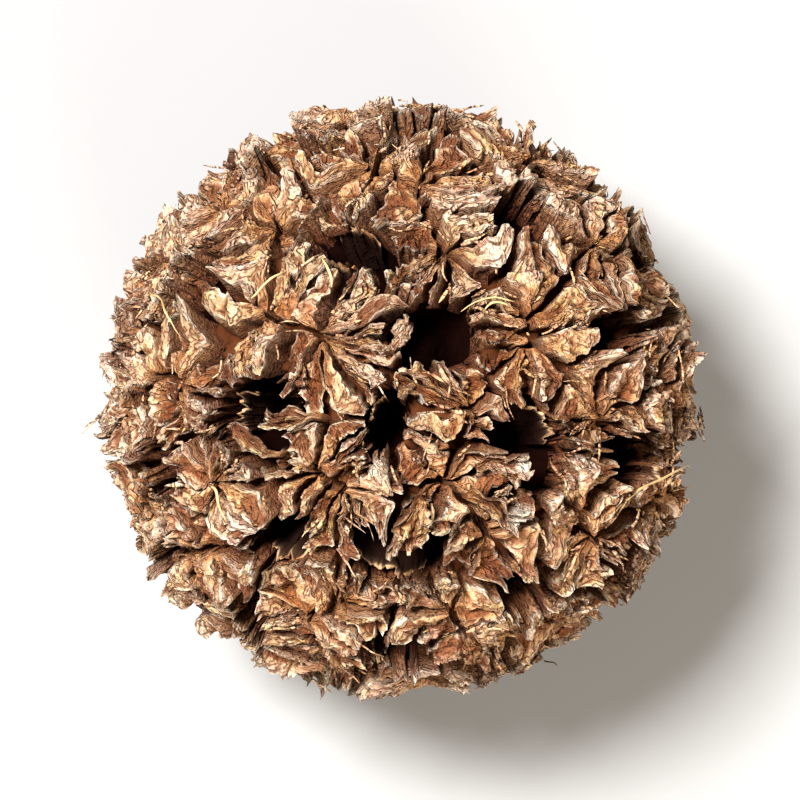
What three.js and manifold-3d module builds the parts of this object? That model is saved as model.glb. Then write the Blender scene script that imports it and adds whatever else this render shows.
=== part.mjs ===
// A sweetgum seed ball: a round woody head of seed capsules grown together. Each capsule
// opens in a dark mouth, and corky scales stand round the mouths. The scales point away from
// the junctions where three or four capsules meet, so they look like small rosettes.
// The head grew as one piece, so it is one closed surface, raised from a sphere by rule.
// Millimetres, +Z up. The head stands on a small flat spot at z = 0.

import * as THREE from 'three';
import { mergeVertices } from 'three/addons/utils/BufferGeometryUtils.js';
import Module from 'manifold-3d';

const wasm = await Module();
wasm.setup();

// Driving dimensions. Spreads across the surface are measured on the sphere of HEAD_RADIUS.
const HEAD_RADIUS = 14.4; // centre to the scales' usual crest
const FOOT_RADIUS = 13.9; // centre to the flat spot that the head rests on
const SEAM_RADIUS = 12.5; // centre to the bottom of the cracks between scales
const LIP_RADIUS = 12.3; // centre to a capsule's lip, under the scales' free ends
const PIT_RADIUS = 10.4; // centre to where a capsule's funnel narrows
const PIT_END_RADIUS = 8.6; // centre to a capsule's bottom
const MOUTH_GAP = 5.4; // another mouth fits where all the others are farther away than this
const SCALE_WIDTH = 1.55; // a scale's usual width half way along
const CRACK = 0.13; // half the width of a crack between two scales

// Scale heights above or below the usual crest
const ROOT_RISE = -1.15; // a scale's narrow end, in the junction
const SIDE_RISE = -0.5; // its shoulder
const CORNER_RISE = -0.15; // its corners at the mouth
const TIP_RISE = 0.1; // its tip
const CREST_RISE = 0.05; // its back, half way along
const RISE_SPREAD = 0.75; // how much one scale differs from another
const CORNER_SPREAD = 0.45; // how much the corners of one scale differ

// The mouths on the upper side, as seen from above: place x and y, length, width, and the
// turn of the length from +X in degrees
const UPPER_MOUTHS = [
  [1.6, 3.2, 3.9, 2.6, 0],
  [-2.1, 7.4, 3.6, 2.2, -25],
  [5.7, 8.7, 2.9, 2.6, 40],
  [-6.9, -0.9, 3.6, 3.2, 70],
  [6.1, -2.3, 4.0, 2.6, -65],
  [0.0, -7.4, 4.2, 2.6, -10],
  [-0.7, -1.1, 2.4, 1.2, 80],
  [-11.7, -3.5, 3.0, 2.4, 20],
  [10.4, 3.1, 3.2, 2.2, 10],
  [11.6, -2.9, 3.4, 2.4, 0],
  [-0.2, -12.2, 3.0, 2.4, -20],
  [-7.3, -10.9, 3.4, 2.2, 80],
  [6.1, -9.2, 2.6, 2.0, 60],
  [-5.6, -6.8, 2.6, 1.8, 15],
  [-9.8, 5.9, 2.8, 2.0, 50],
  [-5.4, 11.7, 3.2, 2.2, 0],
];

// The other mouths take their sizes from these ranges
const MOUTH_LENGTH = [2.4, 4.0];
const MOUTH_SHAPE = [0.62, 0.92]; // width as a share of length
const LIP_MARGIN = 0.4; // how far the lip stands back from the clear mouth
const OVERHANG = [0.05, 0.3]; // how far a scale's corners stand out past the lip
const TIP_OVERHANG = 0.32; // how much farther its tip may stand out
const LIP_SHARE = 0.74; // share of the way to the nearest neighbour that a lip may reach

// The broken stalk, low on the far side
const STALK_TOWARDS = new THREE.Vector3(-0.62, 0.62, -0.48).normalize();
const STALK = { root: 1.7, neck: 1.15, end: 1.25, neckRadius: 13.2, endRadius: 15.2 };

const SEED = 20417;
const MERGE = 1.15; // junctions closer than this are one
const SPREADING_ROUNDS = 40;
const CANDIDATES = 900;

// A stream of draws from 0 to 1, the same on every run
function drawsFrom(seed) {
  let state = (Math.imul(seed, 2654435761) + SEED) >>> 0;
  const next = () => {
    state = (Math.imul(state, 1664525) + 1013904223) >>> 0;
    return state / 4294967296;
  };
  for (let i = 0; i < 3; i++) next();
  return next;
}

const mix = THREE.MathUtils.lerp;
const clamp = THREE.MathUtils.clamp;
const about = (next, spread) => (next() - 0.5) * spread;

// A mouth: its axis, and two directions across it, the first nearest to +X
function mouthOn(axis, length, width, turn) {
  const side = new THREE.Vector3(1, 0, 0);
  if (Math.abs(axis.x) > 0.95) side.set(0, 1, 0);
  const across = side.addScaledVector(axis, -side.dot(axis)).normalize();
  const up = new THREE.Vector3().crossVectors(axis, across);
  return { axis, across, up, length, width, turn };
}

// The direction at an angle round a mouth and a spread away from its axis
function direction(mouth, angle, spread) {
  const tilt = spread / HEAD_RADIUS;
  return new THREE.Vector3()
    .addScaledVector(mouth.axis, Math.cos(tilt))
    .addScaledVector(mouth.across, Math.sin(tilt) * Math.cos(angle))
    .addScaledVector(mouth.up, Math.sin(tilt) * Math.sin(angle));
}

// The angle and the spread of a direction, seen from a mouth
function seenFrom(mouth, towards) {
  const angle = Math.atan2(towards.dot(mouth.up), towards.dot(mouth.across));
  return { angle, spread: mouth.axis.angleTo(towards) * HEAD_RADIUS };
}

// Half the clear width of a mouth at an angle: an ellipse
function mouthReach(mouth, angle) {
  const a = mouth.length / 2;
  const b = mouth.width / 2;
  const t = angle - THREE.MathUtils.degToRad(mouth.turn);
  return (a * b) / Math.hypot(b * Math.cos(t), a * Math.sin(t));
}

// Every mouth: the given ones, then one in the widest gap until no gap is wide enough
function allMouths() {
  const given = UPPER_MOUTHS.map(([x, y]) => {
    const z = Math.sqrt(HEAD_RADIUS ** 2 - x ** 2 - y ** 2);
    return new THREE.Vector3(x, y, z).normalize();
  });
  const axes = given.map((axis) => axis.clone());
  axes.push(STALK_TOWARDS.clone());
  const fixed = axes.length;
  const candidates = [];
  for (let i = 0; i < CANDIDATES; i++) {
    const z = 1 - (2 * i + 1) / CANDIDATES;
    const turn = i * Math.PI * (3 - Math.sqrt(5));
    const r = Math.sqrt(1 - z * z);
    candidates.push(new THREE.Vector3(r * Math.cos(turn), r * Math.sin(turn), z));
  }
  const gap = (c) => Math.min(...axes.map((a) => a.angleTo(c))) * HEAD_RADIUS;
  for (;;) {
    const widest = candidates.reduce((best, c) => (gap(c) > gap(best) ? c : best));
    if (gap(widest) < MOUTH_GAP) break;
    axes.push(widest.clone());
  }
  for (let round = 0; round < SPREADING_ROUNDS; round++) {
    for (let i = fixed; i < axes.length; i++) {
      const push = new THREE.Vector3();
      axes.forEach((other, j) => {
        if (j === i) return;
        const away = axes[i].clone().sub(other);
        push.addScaledVector(away, 1 / away.lengthSq() ** 2.5);
      });
      axes[i].addScaledVector(push, 0.0006).normalize();
    }
  }
  return axes.map((axis, i) => {
    if (i < UPPER_MOUTHS.length) {
      const [, , length, width, turn] = UPPER_MOUTHS[i];
      return mouthOn(axis, length, width, turn);
    }
    if (i === UPPER_MOUTHS.length) {
      return { ...mouthOn(axis, STALK.root * 2, STALK.root * 2, 0), stalk: true };
    }
    const next = drawsFrom(i);
    const length = mix(...MOUTH_LENGTH, next());
    const width = length * mix(...MOUTH_SHAPE, next());
    return mouthOn(axis, length, width, next() * 180);
  });
}

// The junctions: points as far from three mouths, or four, and from no other mouth nearer
function allJunctions(mouths) {
  const junctions = [];
  const p = mouths.map((m) => m.axis);
  for (let i = 0; i < p.length; i++)
    for (let j = i + 1; j < p.length; j++)
      for (let k = j + 1; k < p.length; k++) {
        const n = new THREE.Vector3()
          .crossVectors(p[j].clone().sub(p[i]), p[k].clone().sub(p[i]))
          .normalize();
        if (n.dot(p[i]) < 0) n.negate();
        const reach = n.dot(p[i]) + 1e-9;
        if (p.some((q, l) => l !== i && l !== j && l !== k && n.dot(q) > reach)) continue;
        const near = junctions.find((o) => o.at.angleTo(n) * HEAD_RADIUS < MERGE);
        if (near) {
          near.at.add(n).normalize();
          [i, j, k].forEach((m) => near.mouths.add(m));
        } else junctions.push({ at: n, mouths: new Set([i, j, k]) });
      }
  junctions.forEach((junction, index) => {
    junction.index = index;
  });
  return junctions;
}

// The junctions round one mouth, in turn, and the point half way to each next one
function ringRound(mouth, index, junctions) {
  const ring = junctions
    .filter((j) => j.mouths.has(index))
    .map((j) => ({ at: j.at, index: j.index, angle: seenFrom(mouth, j.at).angle }))
    .sort((a, b) => a.angle - b.angle);
  ring.forEach((corner, i) => {
    const following = ring[(i + 1) % ring.length];
    const [low, high] = [corner, following].sort((a, b) => a.index - b.index);
    const next = drawsFrom(1000 + low.index * 97 + high.index);
    corner.middle = low.at.clone().lerp(high.at, mix(0.4, 0.6, next())).normalize();
  });
  return ring;
}

// Collects triangles, counter-clockwise seen from outside
const corners = [];
const triangle = (...points) => points.forEach((p) => corners.push(p.x, p.y, p.z));

// Faces between two open lines that share neither end: the low one and the high one
function wall(low, high) {
  let i = 0;
  let j = 0;
  while (i < low.length - 1 || j < high.length - 1) {
    const share = (line, n) => n / (line.length - 1 || 1);
    const lowNext = i < low.length - 1 && share(low, i + 1) <= share(high, j + 1);
    if (lowNext || j === high.length - 1) {
      triangle(low[i], low[i + 1], high[j]);
      i++;
    } else {
      triangle(low[i], high[j + 1], high[j]);
      j++;
    }
  }
}

// One scale on its cell of the sphere. The cell runs from one point on the lip, round by
// the junction, to the next point on the lip.
function scale(mouth, cell, lipSpread, next) {
  const lift = about(next, RISE_SPREAD);
  const at = (towards, rise) => towards.clone().setLength(HEAD_RADIUS + lift + rise);
  const outer = cell.path.slice(1, -1);
  const middle = new THREE.Vector3();
  cell.path.forEach((p) => middle.add(p));
  middle.normalize();

  // The top's edge: corner, shoulders and root, corner, then the tip between the corners
  const inset = (p, by) => {
    const far = p.angleTo(middle) * HEAD_RADIUS;
    return p.clone().lerp(middle, Math.min(by / far, 0.45)).normalize();
  };
  const span = cell.to - cell.from;
  const reach = (angle) => lipSpread(angle) - mix(...OVERHANG, next());
  const slack = Math.min(CRACK / mouth.width * 1.6, span * 0.2);
  const first = cell.from + slack;
  const last = cell.to - slack;
  const tipAngle = mix(first, last, mix(0.3, 0.7, next()));
  const corner = (angle) =>
    at(direction(mouth, angle, reach(angle)), CORNER_RISE + about(next, CORNER_SPREAD));
  const left = corner(first);
  const right = corner(last);
  const tip = at(
    direction(mouth, tipAngle, reach(tipAngle) - TIP_OVERHANG * next()),
    TIP_RISE + about(next, CORNER_SPREAD),
  );
  const outerTop = outer.map((p) =>
    p === cell.root
      ? at(inset(p, 0.62), ROOT_RISE + about(next, 0.3))
      : at(inset(p, 0.3), SIDE_RISE + about(next, CORNER_SPREAD)),
  );
  const round = [left, ...outerTop, right, tip];
  const crest = new THREE.Vector3();
  round.forEach((p) => crest.addScaledVector(p, 1 / round.length));
  crest.setLength(HEAD_RADIUS + lift + CREST_RISE + about(next, CORNER_SPREAD));

  // The walls down into the cracks, and the one over the mouth
  const seam = cell.path.map((p, i) =>
    p.clone().setLength(i === 0 || i === cell.path.length - 1 ? LIP_RADIUS : SEAM_RADIUS),
  );
  wall(seam, round.slice(0, -1));
  wall([seam[seam.length - 1], seam[0]], [right, tip, left]);

  // The top, in facets round its crest
  round.forEach((p, i) => triangle(p, round[(i + 1) % round.length], crest));
}

// A capsule's funnel, from its lip down to its bottom
function funnel(mouth, lip) {
  const narrow = lip.map((p) => {
    const { angle, spread } = seenFrom(mouth, p.clone().normalize());
    return direction(mouth, angle, spread * 0.82).setLength(PIT_RADIUS);
  });
  const end = mouth.axis.clone().setLength(PIT_END_RADIUS);
  lip.forEach((p, i) => {
    const j = (i + 1) % lip.length;
    triangle(p, lip[j], narrow[j]);
    triangle(p, narrow[j], narrow[i]);
    triangle(narrow[i], narrow[j], end);
  });
}

// The broken stalk, which stands in the place of one capsule
function stalk(mouth, lip) {
  const ring = (spread, radius, uneven) =>
    lip.map((p, i) => {
      const { angle } = seenFrom(mouth, p.clone().normalize());
      const next = drawsFrom(5000 + i);
      return direction(mouth, angle, spread).setLength(radius + about(next, uneven));
    });
  const rings = [lip, ring(STALK.neck, STALK.neckRadius, 0), ring(STALK.end, STALK.endRadius, 0.5)];
  const end = mouth.axis.clone().setLength(STALK.endRadius - 0.3);
  for (let k = 0; k + 1 < rings.length; k++)
    lip.forEach((_, i) => {
      const j = (i + 1) % lip.length;
      triangle(rings[k][i], rings[k][j], rings[k + 1][j]);
      triangle(rings[k][i], rings[k + 1][j], rings[k + 1][i]);
    });
  const top = rings[rings.length - 1];
  top.forEach((p, i) => triangle(p, top[(i + 1) % top.length], end));
}

// Everything round one mouth: its scales, and its funnel or the stalk
function capsule(mouth, index, junctions) {
  const ring = ringRound(mouth, index, junctions);
  const edges = ring.map((corner) => seenFrom(mouth, corner.middle).spread);
  const most = Math.min(...edges) * LIP_SHARE;
  const lipSpread = (angle) => Math.min(mouthReach(mouth, angle) + LIP_MARGIN, most);
  const lipAt = (angle) => direction(mouth, angle, lipSpread(angle));
  const lip = [];
  ring.forEach((corner, i) => {
    const before = ring[(i + ring.length - 1) % ring.length].middle;
    const next = drawsFrom(20000 + index * 131 + corner.index);
    let from = seenFrom(mouth, before).angle;
    let to = seenFrom(mouth, corner.middle).angle;
    if (from > corner.angle) from -= 2 * Math.PI;
    if (to < corner.angle) to += 2 * Math.PI;
    const { spread } = seenFrom(mouth, corner.at);
    const halfWay = (spread + mouthReach(mouth, corner.angle)) / 2;
    const count = clamp(Math.round(((to - from) * halfWay) / SCALE_WIDTH + about(next, 0.9)), 1, 3);
    const cuts = [from];
    for (let k = 1; k < count; k++) cuts.push(mix(from, to, (k + about(next, 0.36)) / count));
    cuts.push(to);
    for (let k = 0; k < count; k++) {
      const path = [lipAt(cuts[k])];
      if (k === 0) path.push(before);
      path.push(corner.at);
      if (k === count - 1) path.push(corner.middle);
      path.push(lipAt(cuts[k + 1]));
      scale(mouth, { path, root: corner.at, from: cuts[k], to: cuts[k + 1] }, lipSpread, next);
      lip.push(path[0].clone().setLength(LIP_RADIUS));
    }
  });
  if (mouth.stalk) stalk(mouth, lip);
  else funnel(mouth, lip);
}

// The scales underneath are worn down to one level
function wornFlat(grown) {
  const asSolid = (shape) =>
    new wasm.Manifold(
      new wasm.Mesh({
        numProp: 3,
        vertProperties: new Float32Array(shape.attributes.position.array),
        triVerts: new Uint32Array(shape.index.array),
      }),
    );
  const size = 4 * HEAD_RADIUS;
  const above = new THREE.BoxGeometry(size, size, size).translate(0, 0, size / 2 - FOOT_RADIUS);
  ['normal', 'uv'].forEach((name) => above.deleteAttribute(name));
  const worn = asSolid(grown).intersect(asSolid(mergeVertices(above))).getMesh();
  const geometry = new THREE.BufferGeometry();
  geometry.setAttribute('position', new THREE.BufferAttribute(worn.vertProperties, 3));
  geometry.setIndex(new THREE.BufferAttribute(worn.triVerts, 1));
  return geometry;
}

function head() {
  const mouths = allMouths();
  const junctions = allJunctions(mouths);
  mouths.forEach((mouth, index) => capsule(mouth, index, junctions));

  const grown = new THREE.BufferGeometry();
  grown.setAttribute('position', new THREE.Float32BufferAttribute(corners, 3));
  const geometry = wornFlat(mergeVertices(grown));
  geometry.translate(0, 0, FOOT_RADIUS);
  geometry.computeVertexNormals();
  return geometry;
}

const seedBall = new THREE.Mesh(
  head(),
  new THREE.MeshStandardMaterial({ color: 0x9a7450, roughness: 0.9, metalness: 0, flatShading: true }),
);
seedBall.name = 'seed_ball';

const part = new THREE.Group();
part.add(seedBall);

export default part;
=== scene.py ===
# A dried sweetgum seed ball. The capsules' mouths, their junctions and the scales round them
# follow the same rule as the solid, and each scale is made finer here: split into slivers with
# ridged backs and torn ends. Lengths are in millimetres until a mesh is made.

import functools
import itertools
import math

import bmesh
import bpy
import numpy as np
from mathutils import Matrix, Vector


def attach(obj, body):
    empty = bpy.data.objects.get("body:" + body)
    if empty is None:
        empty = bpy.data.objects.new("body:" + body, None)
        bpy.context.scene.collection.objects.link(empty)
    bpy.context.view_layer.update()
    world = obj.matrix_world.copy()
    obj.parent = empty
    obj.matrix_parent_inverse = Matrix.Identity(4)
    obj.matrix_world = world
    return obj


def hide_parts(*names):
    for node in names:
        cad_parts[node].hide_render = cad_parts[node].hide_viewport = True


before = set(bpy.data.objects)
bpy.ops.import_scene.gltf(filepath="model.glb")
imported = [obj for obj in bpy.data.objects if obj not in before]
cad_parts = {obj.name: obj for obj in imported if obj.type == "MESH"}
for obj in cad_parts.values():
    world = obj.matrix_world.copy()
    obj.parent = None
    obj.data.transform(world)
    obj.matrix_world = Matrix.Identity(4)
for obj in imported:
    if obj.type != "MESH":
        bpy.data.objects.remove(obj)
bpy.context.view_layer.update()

MM = 0.001

# Sizes that the solid shares. A mouth is its place as seen from above, its length, width and turn
HEAD_RADIUS = 14.4
FOOT_RADIUS = 13.9
LIP_RADIUS = 12.3
MOUTH_GAP = 5.4
SCALE_WIDTH = 1.55
CRACK = 0.13
ROOT_RISE = -1.15
SIDE_RISE = -0.5
CORNER_RISE = -0.15
TIP_RISE = 0.1
CREST_RISE = 0.05
RISE_SPREAD = 0.75
CORNER_SPREAD = 0.45
UPPER_MOUTHS = [
    (1.6, 3.2, 3.9, 2.6, 0),
    (-2.1, 7.4, 3.6, 2.2, -25),
    (5.7, 8.7, 2.9, 2.6, 40),
    (-6.9, -0.9, 3.6, 3.2, 70),
    (6.1, -2.3, 4.0, 2.6, -65),
    (0.0, -7.4, 4.2, 2.6, -10),
    (-0.7, -1.1, 2.4, 1.2, 80),
    (-11.7, -3.5, 3.0, 2.4, 20),
    (10.4, 3.1, 3.2, 2.2, 10),
    (11.6, -2.9, 3.4, 2.4, 0),
    (-0.2, -12.2, 3.0, 2.4, -20),
    (-7.3, -10.9, 3.4, 2.2, 80),
    (6.1, -9.2, 2.6, 2.0, 60),
    (-5.6, -6.8, 2.6, 1.8, 15),
    (-9.8, 5.9, 2.8, 2.0, 50),
    (-5.4, 11.7, 3.2, 2.2, 0),
]
MOUTH_LENGTH = (2.4, 4.0)
MOUTH_SHAPE = (0.62, 0.92)
LIP_MARGIN = 0.4
OVERHANG = (0.05, 0.3)
TIP_OVERHANG = 0.32
LIP_SHARE = 0.74
MIDDLE_SHARE = (0.4, 0.6)
TIP_SHARE = (0.3, 0.7)
CUT_SPREAD = 0.36
MOST_SCALES = 3
STALK_TOWARDS = (-0.62, 0.62, -0.48)
STALK_ROOT = 1.7
SEED = 20417
MERGE = 1.15
SPREADING_ROUNDS = 40
SPREADING_STEP = 0.0006
CANDIDATES = 900

# Sizes of the finer scales
ROWS = 22  # along a sliver, from its root to its end
COLUMN = 0.085  # the width of a column of a sliver's back
COLUMNS = (5, 22)  # the fewest and the most columns
DEPTHS = np.array([0.12, 0.45, 1.0])  # down a sliver's sides
WALL = len(DEPTHS)
SPLIT_GAP = 0.2  # between slivers of one scale
SLIVER_WIDTH = 0.72
MOST_SLIVERS = 4
SLIVER_LIFT = (-0.55, 0.3)  # off its scale's back
WHOLE_LIFT = (-0.15, 0.2)  # where the scale isn't split
CUT_BACK = 0.16  # the most that a sliver is shorter, as a share
BROKEN = 0.1  # the share of scales broken lower and shorter
BROKEN_DROP = 0.35
BROKEN_BACK = 0.15
MARGIN = (-0.02, 0.22)  # as a share of a scale's width, on each side
TONE_SPREAD = 0.12
END_TAPER = (-0.1, 0.5)  # how much a sliver narrows to its end
SKEW = 0.13  # how far a sliver bends aside, as a share of its scale's width
PIECES = 8  # the scales are shared out over this many objects
ROOT_LIFT = 0.3  # how much shallower the finer scales' roots are than the solid's
ROOT_INSET = 0.16  # from the junction to a scale's root
SIDE_INSET = 0.26  # from the cell's sides to a scale's shoulders
RIDGE_SPACING = 0.33
GROOVE_DEPTH = 0.5
RIDGE_STEP = 0.13  # how unequal the ridges' heights are
END_STEP = 0.2  # how unequal the ridges' ends are in height
RUGGED = 0.25
BUMPS = 0.07
CROSS_CRACKS = 0.9  # across a sliver, on average
NOTCH = 0.12  # how wide a groove cuts into a sliver's end
SWELL = (0.05, 0.45)
TILT = 0.2
ROUGH_SIDES = 0.035
ROUGH_BACK = 0.35  # as a share of that
ROUGH_END = 0.06
EDGE_SWAY = 0.16
EDGE_WEAR = (-0.16, 0.26)  # how far the sides of a sliver's back are worn, or curl up
DOMED = (-0.6, 0.9)  # how much of its swell a sliver keeps, or how hollow it is
# The strength of the painted highlight on the scales' edges
EDGE_HIGHLIGHT_STRENGTH = 0.5
RIM = 0.18  # how raised an edge counts for its colour, which gives the edge a painted highlight
GRAIN_DOWN = 1.5  # how far the grain runs on down a sliver's sides
SCALE_ANGLE = 38  # edges under this angle are smooth
VALVE_ANGLE = 50
UNDERCUT = 0.4  # how far a scale's foot stands back from the lip, under its end
TORN = 0.5  # the deepest bite out of a scale's end
CORE_RADIUS = 12.55
FOOT_DEPTH = 11.9  # how near the centre the scales' feet are, inside the core
SUNK_RADIUS = 14.2  # from here down the cork is redder, as unweathered cork, and darker, as painted shade
SUNK_REACH = 1.2
PIT_END_RADIUS = 8.6
CORE_ROUGH = 0.8
PARTITION_WIDTH = 0.22
PARTITION_RISE = 0.22  # as a share of the funnel's depth
VALVE_FOOT = 10.2
VALVE_THICKNESS = 0.17
VALVE_STEPS = 30
VALVES_LOST = 0.25  # as a share
ROD_SIDES = 5
FIBRE_SIDES = 6
STALK_SIDES = 64
SPLINTERS = 700
SHARDS = 600
FLAKES = 230

# Across a valve: how far through its thickness, how far up, and how pale, which lessens the painted
# shade lower down
VALVE_PROFILE = [
    (0, 0, 0),
    (0, 0.5, 0.3),
    (0, 0.92, 0.75),
    (0.25, 1, 1),
    (0.8, 1, 1),
    (1, 0.92, 0.75),
    (1, 0.5, 0.3),
    (1, 0, 0),
]

# Along a flake: where, and how wide and how thick it is there
FLAKE_PROFILE = [
    (0, 0.25, 1),
    (0.5, 0.9, 0.9),
    (1, 1, 0.55),
]

# Scales that reach out over a mouth, as seen from above: root, tip, width, rise and tip's droop
LONG_ENDS = [
    ((1.0, -4.3), (0.4, -6.9), 1.3, 0.25, -0.1),
    ((-3.6, -0.6), (-6.3, -0.8), 1.1, 0.2, 0.0),
    ((-5.2, -2.6), (-7.7, -1.6), 0.9, 0.05, -0.1),
    ((-3.9, 9.6), (-3.0, 8.2), 1.1, -0.1, -0.6),
    ((3.2, -3.2), (5.6, -2.9), 1.2, 0.2, 0.1),
    ((2.9, -4.4), (5.6, -5.6), 1.2, 0.25, 0.1),
    ((-0.3, 2.2), (0.3, 3.6), 0.9, 0.0, -0.3),
]

# What the materials read at each vertex: how far along a scale, how deep down its side, how
# raised, its own tone, its places across and along the grain, and its edge's painted highlight
ALONG, DEEP, RAISED, TONE, GRAIN_ACROSS, GRAIN_ALONG, EDGE_HIGHLIGHT_COLUMN = range(7)

# How thick splinters, shards and fibres are along their length
SPLINTER_RADII = np.array([0.35, 1, 0.9, 0.3])
SHARD_RADII = np.array([0.7, 1, 1, 0.9, 0.7, 0.2])
FIBRE_RADII = 0.06 * np.array([0.5, 0.8, 1, 1, 1, 0.9, 0.8, 0.6, 0.25])

# The stalk's end: distance from its axis and from the ball's centre, how ribbed and how torn
STALK_PROFILE = [
    (1.75, 12.0, 0.3, 0),
    (1.5, 12.5, 0.6, 0),
    (1.25, 13.0, 1.0, 0),
    (1.17, 13.5, 1.0, 0),
    (1.15, 14.0, 1.0, 0),
    (1.2, 14.5, 1.0, 0),
    (1.25, 14.95, 1.0, 0.4),
    (1.18, 15.2, 1.0, 0.9),
    (0.95, 15.1, 0.8, 1.0),
    (0.7, 14.9, 0.6, 1.0),
    (0.45, 14.7, 0.4, 0.8),
    (0.22, 14.6, 0.2, 0.5),
    (0.06, 14.6, 0.0, 0.2),
]

# Loose fibres, as seen from above: from, to, and the height above the scales' crest
FIBRES = [
    ((5.1, 4.5), (3.0, 3.8), -0.5),
    ((4.9, 4.2), (3.9, 3.6), -0.6),
    ((-11.6, 4.9), (-10.0, 3.0), 0.1),
    ((-8.6, -3.9), (-7.6, -5.3), 0.1),
    ((10.4, -4.7), (13.9, -3.3), -0.3),
    ((-6.9, 4.6), (-5.4, 5.6), 0.1),
    ((-2.9, 5.1), (-3.4, 6.3), 0.15),
]

# Ends that are almost white: place as seen from above, reach and strength
PALE_SPOTS = [
    (5.5, -5.4, 0.8, 1.0),
    (5.6, -2.9, 0.5, 0.9),
    (-0.9, -3.2, 0.8, 0.35),
    (1.0, 0.0, 0.35, 0.8),
]

# Bends that all pieces share, so that no crack runs straight: wavelength and reach
BENDS = [
    (1.9, 0.42),
    (0.7, 0.15),
]

# Colours
CORK_TONES = [
    (0.14, (0.375, 0.22, 0.125)),
    (0.28, (0.47, 0.31, 0.19)),
    (0.40, (0.515, 0.37, 0.255)),
    (0.52, (0.54, 0.39, 0.215)),
    (0.62, (0.43, 0.285, 0.15)),
    (0.74, (0.535, 0.345, 0.185)),
    (0.88, (0.565, 0.425, 0.285)),
]
# Warm tint for the scales' own warm patches, and for painted shade towards the right
WARM_TINT = (1.0, 0.78, 0.5)
PINK_TINT = (1.0, 0.82, 0.88)
OLIVE_TINT = (0.93, 0.97, 0.7)
# Redder, as unweathered cork, and darker, as painted shade, in the sunk parts
SUNK_RED_AND_SHADE = (0.84, 0.62, 0.37)
STREAK = (0.15, 0.055, 0.02)
PALE = (0.54, 0.43, 0.36)
# Painted highlight on the ridges and rims
PAINTED_RIDGE_HIGHLIGHT = (0.5, 0.385, 0.315)
# Painted shade in the grooves, wrinkles and pits
PAINTED_GROOVE_SHADE = (0.13, 0.038, 0.012)
ROOT = (0.45, 0.19, 0.06)
# Painted shade down the sides of the slivers
PAINTED_SIDE_SHADE = (0.1, 0.026, 0.008)
# The almost white torn ends, and the painted highlight on the edges
WHITE_ENDS_AND_EDGE_HIGHLIGHT = (0.84, 0.75, 0.61)
LINING_TONES = [(0.3, (0.022, 0.006, 0.002)), (0.7, (0.065, 0.021, 0.008))]
# Painted shade deep in the mouths
PAINTED_MOUTH_SHADE = (0.004, 0.0012, 0.0008)
VALVE_TONES = [(0.35, (0.2, 0.09, 0.035)), (0.65, (0.46, 0.3, 0.17))]
# Painted shade on the valves' lower parts
PAINTED_VALVE_SHADE = (0.009, 0.0032, 0.002)
FIBRE_TONES = [(0.35, (0.3, 0.18, 0.07)), (0.65, (0.55, 0.38, 0.17))]
FLOOR_TONES = [(0.0, (0.214, 0.214, 0.214)), (1.0, (0.229, 0.229, 0.229))]

# The studio
FLOOR_SIZE = 1.2
KEY = {"place": (-0.12, 0.1, 0.35), "size": 0.09, "power": 5.85, "colour": (1.0, 0.985, 0.975)}
FILL = {"place": (0.14, -0.3, 0.24), "size": 0.25, "power": 2.75, "colour": (1.0, 0.915, 0.8)}
WORLD_COLOUR = (1.0, 0.89, 0.76, 1)
WORLD_STRENGTH = 0.32
LENS = 180
FRAME_SHARE = 0.78  # of the frame's width that the ball takes
PAST_HEAD = 0.6  # how far the scales' tips stand past the head's radius


def draws_from(seed):
    """Draws from 0 to 1, the same as the solid's."""
    state = (seed * 2654435761 + SEED) & 0xFFFFFFFF

    def draw():
        nonlocal state
        state = (state * 1664525 + 1013904223) & 0xFFFFFFFF
        return state / 4294967296

    for _ in range(3):
        draw()
    return draw


def mix(a, b, share):
    return a + (b - a) * share


def about(draw, spread):
    return (draw() - 0.5) * spread


def unit(v):
    v = np.asarray(v, float)
    return v / np.linalg.norm(v, axis=-1, keepdims=True)


def angle_between(a, b):
    return math.acos(min(1.0, max(-1.0, float(np.dot(a, b) / np.linalg.norm(a) / np.linalg.norm(b)))))


def on_head(x, y):
    """The point of the head's plain surface that is seen at a place from above."""
    return np.array([x, y, math.sqrt(HEAD_RADIUS**2 - x**2 - y**2)])


# The layout

class Mouth:
    """A capsule's mouth: its axis, two directions across it, and its size."""

    def __init__(self, axis, length, width, turn, stalk=False):
        side = np.array([1.0, 0.0, 0.0]) if abs(axis[0]) <= 0.95 else np.array([0.0, 1.0, 0.0])
        self.axis = axis
        self.across = unit(side - axis * side.dot(axis))
        self.up = np.cross(axis, self.across)
        self.length = length
        self.width = width
        self.turn = turn
        self.stalk = stalk

    def lip_spread(self, angle):
        """How far from its axis the lip is, once `most` is known from its neighbours."""
        return np.minimum(self.reach(angle) + LIP_MARGIN, self.most)

    def direction(self, angle, spread):
        tilt = np.asarray(spread, float)[..., None] / HEAD_RADIUS
        angle = np.asarray(angle, float)[..., None]
        flat = np.cos(angle) * self.across + np.sin(angle) * self.up
        return np.cos(tilt) * self.axis + np.sin(tilt) * flat

    def seen(self, towards):
        angle = math.atan2(towards.dot(self.up), towards.dot(self.across))
        return angle, angle_between(self.axis, towards) * HEAD_RADIUS

    def reach(self, angle):
        a = self.length / 2
        b = self.width / 2
        t = angle - math.radians(self.turn)
        return (a * b) / np.hypot(b * np.cos(t), a * np.sin(t))


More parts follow.
